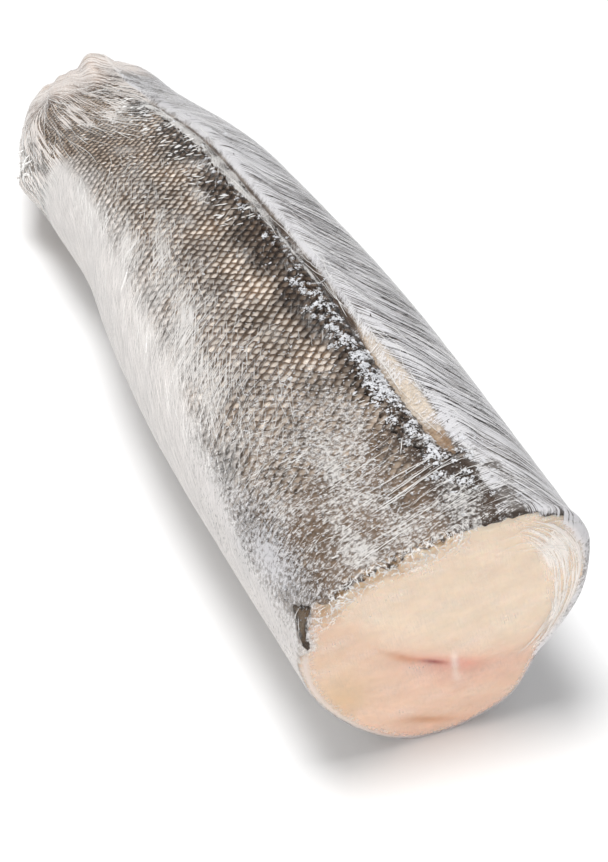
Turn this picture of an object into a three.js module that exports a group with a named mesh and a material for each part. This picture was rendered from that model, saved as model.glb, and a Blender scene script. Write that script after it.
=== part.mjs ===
// A frozen hake trunk: the fish without head, guts, fins or tail, wrapped tight in clear film.
// It lies on its belly, rolled so that the back is up and a little to the right.
// Units are millimetres and degrees. +Y runs from the cut face to the gathered tail end, +Z is up,
// and the origin is under the middle of the trunk, on the surface it lies on.

import * as THREE from 'three';

// Section at the cut face: a circle drawn out into an oval, with three soft corners.
const MEAN_RADIUS = 40.6;
const OVAL_DEPTH = 3.8;
const OVAL_TILT = 28;
const CORNER_DEPTH = 3.6;
const CORNER_TILT = 37;

// The trunk's width, height, sideways sway and lift off the surface, along its length.
const STATIONS = [
  { along: 0, width: 88, height: 80, sway: 0, lift: 0 },
  { along: 109, width: 92, height: 77.5, sway: -2.5, lift: 0 },
  { along: 218, width: 80, height: 72, sway: -4, lift: 0 },
  { along: 308, width: 67, height: 50.5, sway: -6.5, lift: 0 },
  { along: 342, width: 53, height: 39.5, sway: -3, lift: 2 },
  { along: 362, width: 36, height: 26.5, sway: 0, lift: 7 },
];
const TRUNK_LENGTH = STATIONS.at(-1).along;

// The underside is pressed flat where it lies.
const FLAT_DEPTH = 1.6;

// The cut face: its rounded rim, its outward bulge and the crease between loin and belly flaps.
const RIM_RADIUS = 2.6;
const FACE_BULGE = 1.8;
const BACKBONE = { x: 3, z: 27 };
const CREASE = { left: -19, right: 36, lowestX: 21, lowestZ: 24, rise: 14, depth: 1.7, halfWidth: 2.4 };

// The trimmed fin's wound runs along the back and opens towards the cut face.
const BACK_ANGLE = 69;
const WOUND = { start: 26, end: 304, halfWidth: 2.2, depth: 1.3, lip: 0.6 };
const WOUND_OPENING = { middle: 66, halfLength: 40, extraWidth: 1.6, extraDepth: 1.3 };

// The film is gathered in pleats over the tail end, with a peak on top and a loose tuft low on the left.
// A belly flap stands out low on the right at the cut face, and the left side has a slight waist.
const PLEATS = { start: 285, depth: 0.6, coarse: 9, fine: 16 };
const PEAK = { along: 360, angle: 78, height: 5, halfLength: 13, halfAngle: 21 };
const TUFT = { along: 296, angle: 186, height: 3.6, halfLength: 12, halfAngle: 11 };
const BELLY_FLAP = { along: 0, angle: 305, height: 2.8, halfLength: 70, halfAngle: 15 };
const WAIST = { along: 222, angle: 176, height: -2.6, halfLength: 26, halfAngle: 26 };
const END_BULGE = 3;

// Mesh density: rings lie closer at both ends, and points lie closer along the back.
const POINTS_AROUND = 84;
const BACK_CROWDING = 0.5;
const BODY_RINGS = 40;
const RIM_RINGS = 3;
const FACE_RINGS = 11;
const END_RINGS = 5;

const radians = THREE.MathUtils.degToRad;
const bell = (distance, halfWidth) => Math.exp(-((distance / halfWidth) ** 2));
const ramp = THREE.MathUtils.smoothstep;

// The shortest way round from one angle to another, in degrees.
function turnBetween(angle, from) {
  return THREE.MathUtils.euclideanModulo(angle - from + 180, 360) - 180;
}

// A smooth curve through one measure of the stations, without overshoot between them.
function measureAt(key, along) {
  const last = STATIONS.length - 1;
  const slopes = STATIONS.slice(1).map((s, i) => (s[key] - STATIONS[i][key]) / (s.along - STATIONS[i].along));
  const tangent = (i) => {
    if (i === 0) return slopes[0];
    if (i === last) return slopes[last - 1];
    const [before, after] = [slopes[i - 1], slopes[i]];
    return before * after > 0 ? (2 * before * after) / (before + after) : 0;
  };
  const at = THREE.MathUtils.clamp(along, 0, TRUNK_LENGTH);
  const i = Math.min(STATIONS.findLastIndex((s) => s.along <= at), last - 1);
  const span = STATIONS[i + 1].along - STATIONS[i].along;
  const t = (at - STATIONS[i].along) / span;
  const ease = t * t * (3 - 2 * t);
  return (
    STATIONS[i][key] * (1 - ease) +
    STATIONS[i + 1][key] * ease +
    span * (tangent(i) * t * (1 - t) ** 2 - tangent(i + 1) * t * t * (1 - t))
  );
}

// The cut face's outline, as a radius about the section's own middle.
function sectionRadius(angle) {
  const oval = OVAL_DEPTH * Math.cos(2 * radians(angle - OVAL_TILT));
  const corners = CORNER_DEPTH * Math.cos(3 * radians(angle - CORNER_TILT));
  return MEAN_RADIUS + oval + corners;
}

// How wide and high that outline is, and how far its lowest point lies under its middle.
function sectionExtent() {
  const box = new THREE.Box2();
  for (let angle = 0; angle < 360; angle += 0.5) {
    const radius = sectionRadius(angle);
    box.expandByPoint(new THREE.Vector2(radius * Math.cos(radians(angle)), radius * Math.sin(radians(angle))));
  }
  return { width: box.max.x - box.min.x, height: box.max.y - box.min.y, drop: -box.min.y };
}
const SECTION = sectionExtent();

// A soft bump or dent on the trunk's side.
function bump({ along: middle, angle: towards, height, halfLength, halfAngle }, along, angle) {
  return height * bell(along - middle, halfLength) * bell(turnBetween(angle, towards), halfAngle);
}

// The groove where the fin was cut away, with raised lips.
function woundRelief(along, angle, radius) {
  const opening = bell(along - WOUND_OPENING.middle, WOUND_OPENING.halfLength);
  const halfWidth = WOUND.halfWidth + WOUND_OPENING.extraWidth * opening;
  const depth = WOUND.depth + WOUND_OPENING.extraDepth * opening;
  const across = radians(turnBetween(angle, BACK_ANGLE)) * radius;
  const within = ramp(along, WOUND.start, WOUND.start + 14) * (1 - ramp(along, WOUND.end - 20, WOUND.end));
  const lips = bell(Math.abs(across) - 2 * halfWidth, halfWidth);
  return within * (WOUND.lip * lips - depth * bell(across, halfWidth));
}

// Pleats of gathered film that deepen towards the tail end.
function pleatRelief(along, angle) {
  const waves = Math.cos(radians(PLEATS.coarse * angle)) + 0.7 * Math.cos(radians(PLEATS.fine * angle + 50));
  return PLEATS.depth * ramp(along, PLEATS.start, TRUNK_LENGTH) * waves;
}

// A point of the side, drawn in by some millimetres where the rim rounds over to a face.
function sidePoint(along, angle, drawnIn = 0) {
  const plain = sectionRadius(angle);
  const relief =
    woundRelief(along, angle, plain) +
    pleatRelief(along, angle) +
    bump(PEAK, along, angle) +
    bump(TUFT, along, angle) +
    bump(BELLY_FLAP, along, angle) +
    bump(WAIST, along, angle);
  const widen = measureAt('width', along) / SECTION.width;
  const heighten = measureAt('height', along) / SECTION.height;
  const radius = plain - drawnIn;
  const [outX, outZ] = [Math.cos(radians(angle)), Math.sin(radians(angle))];
  const x = radius * outX * widen + relief * outX + measureAt('sway', along);
  const z = (radius * outZ + SECTION.drop) * heighten + relief * outZ + measureAt('lift', along) - FLAT_DEPTH;
  return new THREE.Vector3(x, along, Math.max(z, 0));
}

// How deep the crease lies at a point of the cut face.
function creaseRelief(x, z) {
  const line = CREASE.lowestZ + CREASE.rise * ((x - CREASE.lowestX) / (CREASE.lowestX - CREASE.left)) ** 2;
  const within = ramp(x, CREASE.left - 4, CREASE.left + 6) * (1 - ramp(x, CREASE.right - 6, CREASE.right + 4));
  return CREASE.depth * within * bell(z - line, CREASE.halfWidth);
}

// A point of the cut face, from its backbone (share 0) to its rim (share 1).
function facePoint(share, angle) {
  const rim = sidePoint(0, angle, RIM_RADIUS);
  const x = THREE.MathUtils.lerp(BACKBONE.x, rim.x, share);
  const z = THREE.MathUtils.lerp(BACKBONE.z - FLAT_DEPTH, rim.z, share);
  const bulge = FACE_BULGE * (1 - share ** 2);
  return new THREE.Vector3(x, creaseRelief(x, z) * (1 - share ** 6) - bulge, z);
}

// A point of the tail end, from its middle (share 0) to its rim (share 1).
function endPoint(share, angle) {
  const rim = sidePoint(TRUNK_LENGTH, angle);
  const opposite = sidePoint(TRUNK_LENGTH, angle + 180);
  const middle = rim.clone().add(opposite).multiplyScalar(0.5);
  const point = middle.lerp(rim, share);
  point.y += END_BULGE * (1 - share ** 2);
  return point;
}

// Angles round the trunk, closest together along the back.
function anglesAround() {
  return Array.from({ length: POINTS_AROUND }, (_, i) => {
    const turn = (360 * i) / POINTS_AROUND - 180;
    return BACK_ANGLE + turn - THREE.MathUtils.radToDeg(BACK_CROWDING * Math.sin(radians(turn)));
  });
}

// All the rings in order, each as a function from angle to point: face, rim, side, tail end.
function ringsInOrder() {
  const rings = [];
  for (let i = 1; i <= FACE_RINGS; i += 1) {
    const share = i / FACE_RINGS;
    rings.push((angle) => facePoint(share, angle));
  }
  for (let i = 1; i <= RIM_RINGS; i += 1) {
    const turn = radians((90 * i) / RIM_RINGS);
    const [along, drawnIn] = [RIM_RADIUS * (1 - Math.cos(turn)), RIM_RADIUS * (1 - Math.sin(turn))];
    rings.push((angle) => sidePoint(along, angle, drawnIn));
  }
  for (let i = 1; i <= BODY_RINGS; i += 1) {
    const share = i / BODY_RINGS;
    const crowded = share - 0.08 * Math.sin(2 * Math.PI * share);
    const along = THREE.MathUtils.lerp(RIM_RADIUS, TRUNK_LENGTH, crowded);
    rings.push((angle) => sidePoint(along, angle));
  }
  for (let i = END_RINGS - 1; i >= 1; i -= 1) {
    const share = i / END_RINGS;
    rings.push((angle) => endPoint(share, angle));
  }
  return rings;
}

// One closed skin: a fan at each end and bands of triangles between the rings.
function closedTrunk() {
  const angles = anglesAround();
  const rings = ringsInOrder();
  const points = [facePoint(0, 0), ...rings.flatMap((ring) => angles.map(ring)), endPoint(0, 0)];
  const around = angles.length;
  const at = (ring, i) => 1 + ring * around + (i % around);
  const faces = [];
  for (let i = 0; i < around; i += 1) {
    faces.push(0, at(0, i), at(0, i + 1));
    for (let ring = 0; ring + 1 < rings.length; ring += 1) {
      faces.push(at(ring, i), at(ring + 1, i), at(ring + 1, i + 1));
      faces.push(at(ring, i), at(ring + 1, i + 1), at(ring, i + 1));
    }
    faces.push(at(rings.length - 1, i), points.length - 1, at(rings.length - 1, i + 1));
  }
  const geometry = new THREE.BufferGeometry().setFromPoints(points);
  geometry.setIndex(faces);
  return geometry;
}

// The trunk with the origin under its middle.
function wrappedTrunk() {
  const geometry = closedTrunk();
  geometry.computeBoundingBox();
  const middle = geometry.boundingBox.getCenter(new THREE.Vector3());
  geometry.translate(-middle.x, -middle.y, 0);
  geometry.computeVertexNormals();
  const filmOverSkin = new THREE.MeshStandardMaterial({ color: 0xa39a92, roughness: 0.32, metalness: 0 });
  const mesh = new THREE.Mesh(geometry, filmOverSkin);
  mesh.name = 'wrapped_trunk';
  return mesh;
}

const hake = new THREE.Group();
hake.add(wrappedTrunk());

export default hake;
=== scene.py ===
# A frozen hake trunk in clear film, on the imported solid: flesh, skin, scales, frost, film and creases.
# Forms are worked out in millimetres and degrees, and set down in metres in the part's frame.

import math
from types import SimpleNamespace

import bpy
import numpy as np
from mathutils import Matrix, Vector


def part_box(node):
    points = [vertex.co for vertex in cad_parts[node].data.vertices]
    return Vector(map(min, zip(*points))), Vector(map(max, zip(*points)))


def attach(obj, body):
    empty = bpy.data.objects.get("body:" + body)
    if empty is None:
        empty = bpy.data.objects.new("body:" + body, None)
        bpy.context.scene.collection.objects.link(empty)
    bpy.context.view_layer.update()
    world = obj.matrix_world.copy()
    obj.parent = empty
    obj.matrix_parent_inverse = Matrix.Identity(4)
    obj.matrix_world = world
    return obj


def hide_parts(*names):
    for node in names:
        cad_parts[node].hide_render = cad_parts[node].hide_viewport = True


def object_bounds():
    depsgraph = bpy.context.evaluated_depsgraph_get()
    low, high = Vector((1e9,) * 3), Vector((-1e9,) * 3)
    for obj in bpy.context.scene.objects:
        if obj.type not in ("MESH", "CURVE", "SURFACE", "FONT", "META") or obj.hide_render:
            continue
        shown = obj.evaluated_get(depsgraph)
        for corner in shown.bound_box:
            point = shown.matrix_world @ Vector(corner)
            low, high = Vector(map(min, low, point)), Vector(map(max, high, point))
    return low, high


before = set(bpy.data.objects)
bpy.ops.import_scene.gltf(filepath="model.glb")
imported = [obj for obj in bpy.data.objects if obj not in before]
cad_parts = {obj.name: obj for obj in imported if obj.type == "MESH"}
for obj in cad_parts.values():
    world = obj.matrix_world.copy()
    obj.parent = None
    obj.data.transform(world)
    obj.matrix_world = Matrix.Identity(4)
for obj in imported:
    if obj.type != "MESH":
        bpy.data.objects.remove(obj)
CAD_LOW, CAD_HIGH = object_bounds()

NODE = "wrapped_trunk"
BODY = "root"
METRES = 0.001
SEED = 7

# The trunk's form, as in the solid, but with a shallower, wider crease in the cut face.
MEAN_RADIUS = 40.6
OVAL_DEPTH, OVAL_TILT = 3.8, 28
CORNER_DEPTH, CORNER_TILT = 3.6, 37
STATIONS = {
    "along": [0, 109, 218, 308, 342, 362],
    "width": [88, 92, 80, 67, 53, 36],
    "height": [80, 77.5, 72, 50.5, 39.5, 26.5],
    "sway": [0, -2.5, -4, -6.5, -3, 0],
    "lift": [0, 0, 0, 0, 2, 7],
}
TRUNK_LENGTH = STATIONS["along"][-1]
FLAT_DEPTH = 1.6
RIM_RADIUS = 2.6
FACE_BULGE = 1.8
BACKBONE_X, BACKBONE_Z = 3, 27
CREASE_LEFT, CREASE_RIGHT = -19, 36
CREASE_LOWEST_X, CREASE_LOWEST_Z = 21, 24
CREASE_RISE, CREASE_DEPTH, CREASE_HALF_WIDTH = 14, 0.6, 2.8
CREASE_ENDS_OUT, CREASE_ENDS_IN = 4, 6
BACK_ANGLE = 69
WOUND_START, WOUND_END = 26, 304
WOUND_OPENS, WOUND_CLOSES = 14, 20
WOUND_HALF_WIDTH, WOUND_DEPTH, WOUND_LIP = 2.2, 1.3, 0.6
OPENING_MIDDLE, OPENING_HALF_LENGTH = 66, 40
OPENING_WIDTH, OPENING_DEPTH = 1.6, 1.3
PLEATS_START, PLEATS_DEPTH = 285, 0.6
PLEATS_COARSE, PLEATS_FINE = 9, 16
FINE_PLEATS_SHARE, FINE_PLEATS_SHIFT = 0.7, 50
END_BULGE = 3
# Bumps and dents: place along, angle, height, half length, half angle.
PEAK = (360, 78, 5, 13, 21)
TUFT = (296, 186, 3.6, 12, 11)
BELLY_FLAP = (0, 305, 2.8, 70, 15)
WAIST = (222, 176, -2.6, 26, 26)

# The lens of bare flesh where the back fin was cut away, and the strip behind it, with the stretch over which
# it grows wider and browner.
LENS_START, LENS_END, LENS_HALF_WIDTH = 31, 106, 3.1
STRIP_END, STRIP_BARE = 306, (200, 235)

# Reach runs over the whole trunk: below zero on the cut face, past the length on the tail end.
FACE_REACH = 40
END_REACH = 18
# How much closer together the skin's and the film's points are on the back.
BACK_CLOSENESS = 0.55

# Layers under the film, as distances out from the solid's surface, on which the film lies.
SKIN_OUT = -0.6
SKIN_THICKNESS = 0.8
FACE_FLESH_OUT = -0.35
CORE_FLESH_OUT = -1.3

# The photograph's camera, in the trunk's own millimetres, and its focal length in pixels of the long side.
CAMERA_AT = (-206.1, -428.8, 481.8)
CAMERA_LOOK = (0.2798, 0.7366, -0.6157)
FOCAL_PIXELS, LONG_SIDE_PIXELS = 2300, 862
SENSOR_MM, CLIP_START = 36, 0.01


# Small curves used everywhere.
def bell(distance, half_width):
    return np.exp(-((distance / half_width) ** 2))


def ramp(value, start, end):
    share = np.clip((value - start) / (end - start), 0, 1)
    return share * share * (3 - 2 * share)


def fade(value, start, end):
    return 1 - ramp(value, start, end)


def between(value, start, full, fading, end):
    """Up from start to full and down again from fading to end."""
    return ramp(value, start, full) * fade(value, fading, end)


def moved(value, target, share):
    """A value moved towards a target by a share of the way."""
    return value + share * (target - value)


def turn_between(angle, origin):
    return (angle - origin + 180) % 360 - 180


def blend(first, second, share):
    share = np.asarray(share)[..., None]
    return first * (1 - share) + second * share


def tinted(colours, tints):
    """Colours with each tint blended over them in turn by its share."""
    for tint, share in tints:
        colours = blend(colours, tint, share)
    return colours


def srgb(red, green, blue):
    share = np.array([red, green, blue]) / 255
    return np.where(share <= 0.04045, share / 12.92, ((share + 0.055) / 1.055) ** 2.4)


def smooth_noise(points, sizes, seed, waves=30):
    """Noise of unit spread whose blobs have the given sizes, as a seeded sum of waves."""
    rng = np.random.default_rng(SEED + seed)
    total = np.zeros(points.shape[:-1])
    for _ in range(waves):
        way = rng.normal(size=points.shape[-1])
        way *= rng.uniform(0.5, 1.5) * math.pi / np.linalg.norm(way)
        total += np.cos((points / sizes) @ way + rng.uniform(0, 2 * math.pi))
    return total / math.sqrt(waves / 2)


# The form's functions.
def measure_at(key, along):
    """A smooth curve through one measure of the stations, without overshoot between them."""
    places = np.array(STATIONS["along"], float)
    values = np.array(STATIONS[key], float)
    slopes = np.diff(values) / np.diff(places)
    tangents = np.zeros(len(values))
    tangents[0], tangents[-1] = slopes[0], slopes[-1]
    for i, (before, after) in enumerate(zip(slopes, slopes[1:]), start=1):
        if before * after > 0:
            tangents[i] = 2 * before * after / (before + after)
    at = np.clip(along, 0, TRUNK_LENGTH)
    i = np.clip(np.searchsorted(places, at, side="right") - 1, 0, len(values) - 2)
    span = places[i + 1] - places[i]
    t = (at - places[i]) / span
    ease = t * t * (3 - 2 * t)
    level = values[i] * (1 - ease) + values[i + 1] * ease
    return level + span * (tangents[i] * t * (1 - t) ** 2 - tangents[i + 1] * t * t * (1 - t))


def section_radius(angle):
    oval = OVAL_DEPTH * np.cos(2 * np.radians(angle - OVAL_TILT))
    return MEAN_RADIUS + oval + CORNER_DEPTH * np.cos(3 * np.radians(angle - CORNER_TILT))


def section_extent():
    angle = np.arange(0, 360, 0.5)
    x = section_radius(angle) * np.cos(np.radians(angle))
    z = section_radius(angle) * np.sin(np.radians(angle))
    return np.ptp(x), np.ptp(z), -z.min()


SECTION_WIDTH, SECTION_HEIGHT, SECTION_DROP = section_extent()


def bump(shape, along, angle):
    middle, towards, height, half_length, half_angle = shape
    return height * bell(along - middle, half_length) * bell(turn_between(angle, towards), half_angle)


def wound_opening(along):
    return bell(along - OPENING_MIDDLE, OPENING_HALF_LENGTH)


def wound_within(along):
    return between(along, WOUND_START, WOUND_START + WOUND_OPENS, WOUND_END - WOUND_CLOSES, WOUND_END)


def wound_relief(along, angle):
    half_width = WOUND_HALF_WIDTH + OPENING_WIDTH * wound_opening(along)
    depth = WOUND_DEPTH + OPENING_DEPTH * wound_opening(along)
    across = np.radians(turn_between(angle, BACK_ANGLE)) * section_radius(angle)
    lips = bell(np.abs(across) - 2 * half_width, half_width)
    return wound_within(along) * (WOUND_LIP * lips - depth * bell(across, half_width))


def pleat_relief(along, angle):
    coarse = np.cos(np.radians(PLEATS_COARSE * angle))
    fine = np.cos(np.radians(PLEATS_FINE * angle + FINE_PLEATS_SHIFT))
    depth = PLEATS_DEPTH * ramp(along, PLEATS_START, TRUNK_LENGTH)
    return depth * (coarse + FINE_PLEATS_SHARE * fine)


def side_point(along, angle, drawn_in=0.0, out=0.0):
    """A point of the side, drawn in at the rim, or stood out from the solid's surface."""
    relief = wound_relief(along, angle) + pleat_relief(along, angle) + out
    for shape in (PEAK, TUFT, BELLY_FLAP, WAIST):
        relief = relief + bump(shape, along, angle)
    widen = measure_at("width", along) / SECTION_WIDTH
    heighten = measure_at("height", along) / SECTION_HEIGHT
    radius = section_radius(angle) - drawn_in
    out_x, out_z = np.cos(np.radians(angle)), np.sin(np.radians(angle))
    x = radius * out_x * widen + relief * out_x + measure_at("sway", along)
    z = (radius * out_z + SECTION_DROP) * heighten + relief * out_z
    z = z + measure_at("lift", along) - FLAT_DEPTH
    return np.stack([x, along + 0 * x, np.maximum(z, np.maximum(-out, 0))], -1)


def crease_line(x):
    return CREASE_LOWEST_Z + CREASE_RISE * ((x - CREASE_LOWEST_X) / (CREASE_LOWEST_X - CREASE_LEFT)) ** 2


def crease_within(x):
    opened = ramp(x, CREASE_LEFT - CREASE_ENDS_OUT, CREASE_LEFT + CREASE_ENDS_IN)
    return opened * fade(x, CREASE_RIGHT - CREASE_ENDS_IN, CREASE_RIGHT + CREASE_ENDS_OUT)


def face_point(share, angle, out=0.0):
    """A point of the cut face, from its backbone (share 0) to its rim (share 1)."""
    rim = side_point(np.zeros_like(angle), angle, RIM_RADIUS)
    x = BACKBONE_X * (1 - share) + rim[..., 0] * share
    z = (BACKBONE_Z - FLAT_DEPTH) * (1 - share) + rim[..., 2] * share
    crease = CREASE_DEPTH * crease_within(x) * bell(z - crease_line(x), CREASE_HALF_WIDTH)
    y = crease * (1 - share**6) - FACE_BULGE * (1 - share**2) - out
    return np.stack([x, y, z], -1)


def end_point(share, angle, out=0.0):
    """A point of the tail end, from its middle (share 0) to its rim (share 1)."""
    whole = np.full_like(angle, TRUNK_LENGTH)
    rim = side_point(whole, angle, out=out * share)
    opposite = side_point(whole, angle + 180)
    point = (rim + opposite) / 2 * (1 - share)[..., None] + rim * share[..., None]
    point[..., 1] += (END_BULGE + out) * (1 - share**2)
    return point


def trunk_point(reach, angle, out=0.0):
    """A point of the whole trunk: cut face, rounded rim, side or tail end, by its reach."""
    reach, angle, out = (np.array(a, float) for a in np.broadcast_arrays(reach, angle, out))
    turn = np.radians(90 * np.clip(reach / RIM_RADIUS, 0, 1))
    on_rim = reach < RIM_RADIUS
    along = np.where(on_rim, RIM_RADIUS * (1 - np.cos(turn)), np.minimum(reach, TRUNK_LENGTH))
    drawn_in = np.where(on_rim, RIM_RADIUS * (1 - np.sin(turn)), 0)
    point = side_point(along, angle, drawn_in, out * np.sin(turn))
    point[..., 1] -= np.where(on_rim, out * np.cos(turn), 0)
    face = reach < 0
    point[face] = face_point(1 + reach[face] / FACE_REACH, angle[face], out[face])
    end = reach > TRUNK_LENGTH
    point[end] = end_point(1 - (reach[end] - TRUNK_LENGTH) / END_REACH, angle[end], out[end])
    return point


def part_offset():
    """How far the trunk's own millimetres lie from the part's frame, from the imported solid's box."""
    reach = np.linspace(-FACE_REACH, TRUNK_LENGTH + END_REACH, 400)[:, None]
    points = trunk_point(reach, np.arange(0, 360, 1.0)[None, :]).reshape(-1, 3)
    low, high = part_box(NODE)
    middle = np.array(low + high) / 2 / METRES
    return np.array([middle[0], middle[1], 0]) - [1, 1, 0] * (points.min(0) + points.max(0)) / 2


OFFSET = part_offset()


# How the fish lies: zero on the back, positive down the left flank, negative down the right.
def fish_turn(angle):
    return turn_between(angle, BACK_ANGLE)


def round_back(turn):
    """Millimetres round from the back, at a fixed radius so that they run true along the taper."""
    return np.radians(turn) * MEAN_RADIUS


def flat_place(reach, turn):
    """Places along the trunk and round it, both in millimetres."""
    return np.stack([reach, round_back(turn)], -1)


def side_noise(reach, turn, sizes, seed):
    """Noise over the flattened side, with blobs of the given sizes along and round."""
    return smooth_noise(flat_place(reach, turn), sizes, seed)


def belly_edge(reach):
    """Where the film's white belly begins, in degrees from the back."""
    return np.interp(reach, [0, 35, 61, 82, 96, 125, 362], [93, 96, 88, 85, 80, 75, 73])


def brown_edge(reach):
    """Where the skin's brown ends: as the belly, but further down at the tail."""
    return belly_edge(reach) + 34 * ramp(reach, 258, 300)


def flank_share(reach, turn):
    """How far a place lies on the flank and not on the dark back, which narrows towards the tail."""
    return ramp(turn + 9 * ramp(reach, 205, 255), 13, 26)


def patch(reach, turn, along, half_length, towards, half_turn):
    """A soft patch of the side, given by its middle and half sizes."""
    return bell(reach - along, half_length) * bell(turn - towards, half_turn)


def spread_turns(count):
    """Turns all round the trunk, closer together on the back, where the detail is."""
    share = (np.arange(count) + 0.5) / count * 2 - 1
    return 180 * (share - BACK_CLOSENESS * np.sin(math.pi * share) / math.pi)


def lens_half_width(reach):
    """Half the width of the bare flesh where the back fin was cut away, in millimetres."""
    share = np.clip((reach - LENS_START) / (LENS_END - LENS_START), 0, 1)
    lens = LENS_HALF_WIDTH * np.sin(math.pi * share**0.8) ** 0.8
    strip = (0.4 + 0.5 * ramp(reach, *STRIP_BARE)) * ramp(reach, LENS_END - 12, LENS_END + 4)
    strip = strip * fade(reach, STRIP_END - 16, STRIP_END)
    strip = strip * ramp(smooth_noise(reach[..., None], 8.0, 26), -0.5, 0.3)
    return np.maximum(lens, strip)


def lens_middle(reach):
    return -0.6 - 0.7 * ramp(reach, 60, 105)


def wound_left(reach):
    """Where the dark scales begin left of the wound, in degrees from the back."""
    return np.interp(reach, [0, 130, 160, 200, 300], [3.0, 4.0, 5.5, 8.5, 8.5])


def in_lens(reach, turn, soft=0.6):
    """How far a place lies inside the bare flesh, from none to whole."""
    half_width = lens_half_width(reach)
    across = np.abs(round_back(turn) - lens_middle(reach))
    return fade(across - half_width, -soft, soft) * (half_width > 0.05)


# Building blocks for meshes.
def steps_through(stops, counts):
    """Places from stop to stop, each stretch in its own number of steps, without the first and the last."""
    stretches = zip(stops, stops[1:], counts)
    steps = [np.linspace(first, last, count + 1)[1:] for first, last, count in stretches]
    return np.concatenate(steps)[:-1]


def grid_faces(rings, around):
    ring, i = np.meshgrid(np.arange(rings - 1), np.arange(around), indexing="ij")
    here, there = ring * around, (ring + 1) * around
    after = (i + 1) % around
    return np.stack([here + i, there + i, there + after, here + after], -1).reshape(-1, 4).tolist()


def fan_faces(pole, ring_start, around, outward):
    i = np.arange(around)
    first, second = ring_start + i, ring_start + (i + 1) % around
    order = [first, second] if outward else [second, first]
    return np.stack([np.full(around, pole), *order], -1).tolist()


def tube_faces(rings, around):
    """Faces of a tube of rings that is closed at each end by a pole, the last two points."""
    count = rings * around
    faces = grid_faces(rings, around) + fan_faces(count, 0, around, True)
    return faces + fan_faces(count + 1, count - around, around, False)


def mesh_object(name, points, faces, material, smooth=True):
    """A mesh from millimetre points, riding on the part's body."""
    mesh = bpy.data.meshes.new(name)
    mesh.from_pydata(((np.asarray(points) + OFFSET) * METRES).tolist(), [], faces)
    mesh.polygons.foreach_set("use_smooth", np.full(len(mesh.polygons), smooth))
    mesh.materials.append(material)
    mesh.update()
    piece = bpy.data.objects.new(name, mesh)
    bpy.context.scene.collection.objects.link(piece)
    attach(piece, BODY)
    return piece


def set_colours(piece, name, colours):
    layer = piece.data.color_attributes.new(name, "FLOAT_COLOR", "POINT")
    full = np.concatenate([np.clip(colours, 0, 1), np.ones((len(colours), 1))], 1)
    layer.data.foreach_set("color", full.astype(np.float32).ravel())


def set_vectors(piece, name, vectors):
    layer = piece.data.attributes.new(name, "FLOAT_VECTOR", "POINT")
    layer.data.foreach_set("vector", np.asarray(vectors, np.float32).ravel())


def set_numbers(piece, name, numbers):
    layer = piece.data.attributes.new(name, "FLOAT", "POINT")
    layer.data.foreach_set("value", np.asarray(numbers, np.float32).ravel())


# Building blocks for materials.
def new_material(name):
    material = bpy.data.materials.new(name)
    material.use_nodes = True
    material.node_tree.nodes.clear()
    return material, material.node_tree


def add_node(tree, kind, inputs=None, **settings):
    """A shader node; an input given as a socket is linked, and any other value is set."""
    made = tree.nodes.new(kind)
    for name, value in settings.items():
        setattr(made, name, value)
    for name, value in (inputs or {}).items():
        if isinstance(value, bpy.types.NodeSocket):
            tree.links.new(value, made.inputs[name])
        else:
            made.inputs[name].default_value = value
    return made


def read_attribute(tree, name, output):
    return add_node(tree, "ShaderNodeAttribute", attribute_name=name).outputs[output]


def calculate(tree, operation, first, second=0.0, third=0.0):
    made = add_node(tree, "ShaderNodeMath", {0: first, 1: second, 2: third}, operation=operation)
    return made.outputs[0]


def noise_value(tree, vector, scale, detail=3.0, dimensions="3D", roughness=0.5):
    inputs = {"Vector": vector, "Scale": scale, "Detail": detail, "Roughness": roughness}
    return add_node(tree, "ShaderNodeTexNoise", inputs, noise_dimensions=dimensions).outputs[0]


def object_metres(tree):
    return add_node(tree, "ShaderNodeTexCoord").outputs["Object"]


def varied(tree, colour, noise, depth):
    """The colour made lighter and darker by a noise value, by up to some share."""
    value = calculate(tree, "MULTIPLY_ADD", noise, 2 * depth, 1 - depth)
    return add_node(tree, "ShaderNodeHueSaturation", {"Color": colour, "Value": value}).outputs[0]


def bumped(tree, height, depth_metres, strength=1.0):
    inputs = {"Height": height, "Distance": depth_metres, "Strength": strength}
    return add_node(tree, "ShaderNodeBump", inputs).outputs[0]


def eased(tree, value, start, end, low=0.0, high=1.0):
    inputs = {"Value": value, "From Min": start, "From Max": end, "To Min": low, "To Max": high}
    return add_node(tree, "ShaderNodeMapRange", inputs, interpolation_type="SMOOTHSTEP").outputs[0]


def flap_share(tree):
    """How far a place lies inside the brown flap of skin, with a torn edge."""
    inputs = {"Vector": read_attribute(tree, "flap", "Vector")}
    inside = add_node(tree, "ShaderNodeSeparateXYZ", inputs).outputs
    least = calculate(tree, "MINIMUM", calculate(tree, "MINIMUM", inside[0], inside[1]), inside[2])
    torn = calculate(tree, "MULTIPLY_ADD", noise_value(tree, object_metres(tree), 500.0, 1.0), 2.8, -1.4)
    return eased(tree, calculate(tree, "ADD", least, torn), -0.15, 0.15)


def show(tree, shader):
    add_node(tree, "ShaderNodeOutputMaterial", {"Surface": shader})


def principled(tree, inputs):
    return add_node(tree, "ShaderNodeBsdfPrincipled", inputs).outputs[0]


def plain_material(name, inputs_in):
    """A material with one shader, whose inputs are made in its tree."""
    material, tree = new_material(name)
    show(tree, principled(tree, inputs_in(tree)))
    return material


def mixed(tree, share, first, second):
    """Two colour attributes mixed by a share."""
    inputs = {0: share, 6: read_attribute(tree, first, "Color"), 7: read_attribute(tree, second, "Color")}
    return add_node(tree, "ShaderNodeMix", inputs, data_type="RGBA").outputs[2]


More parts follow.
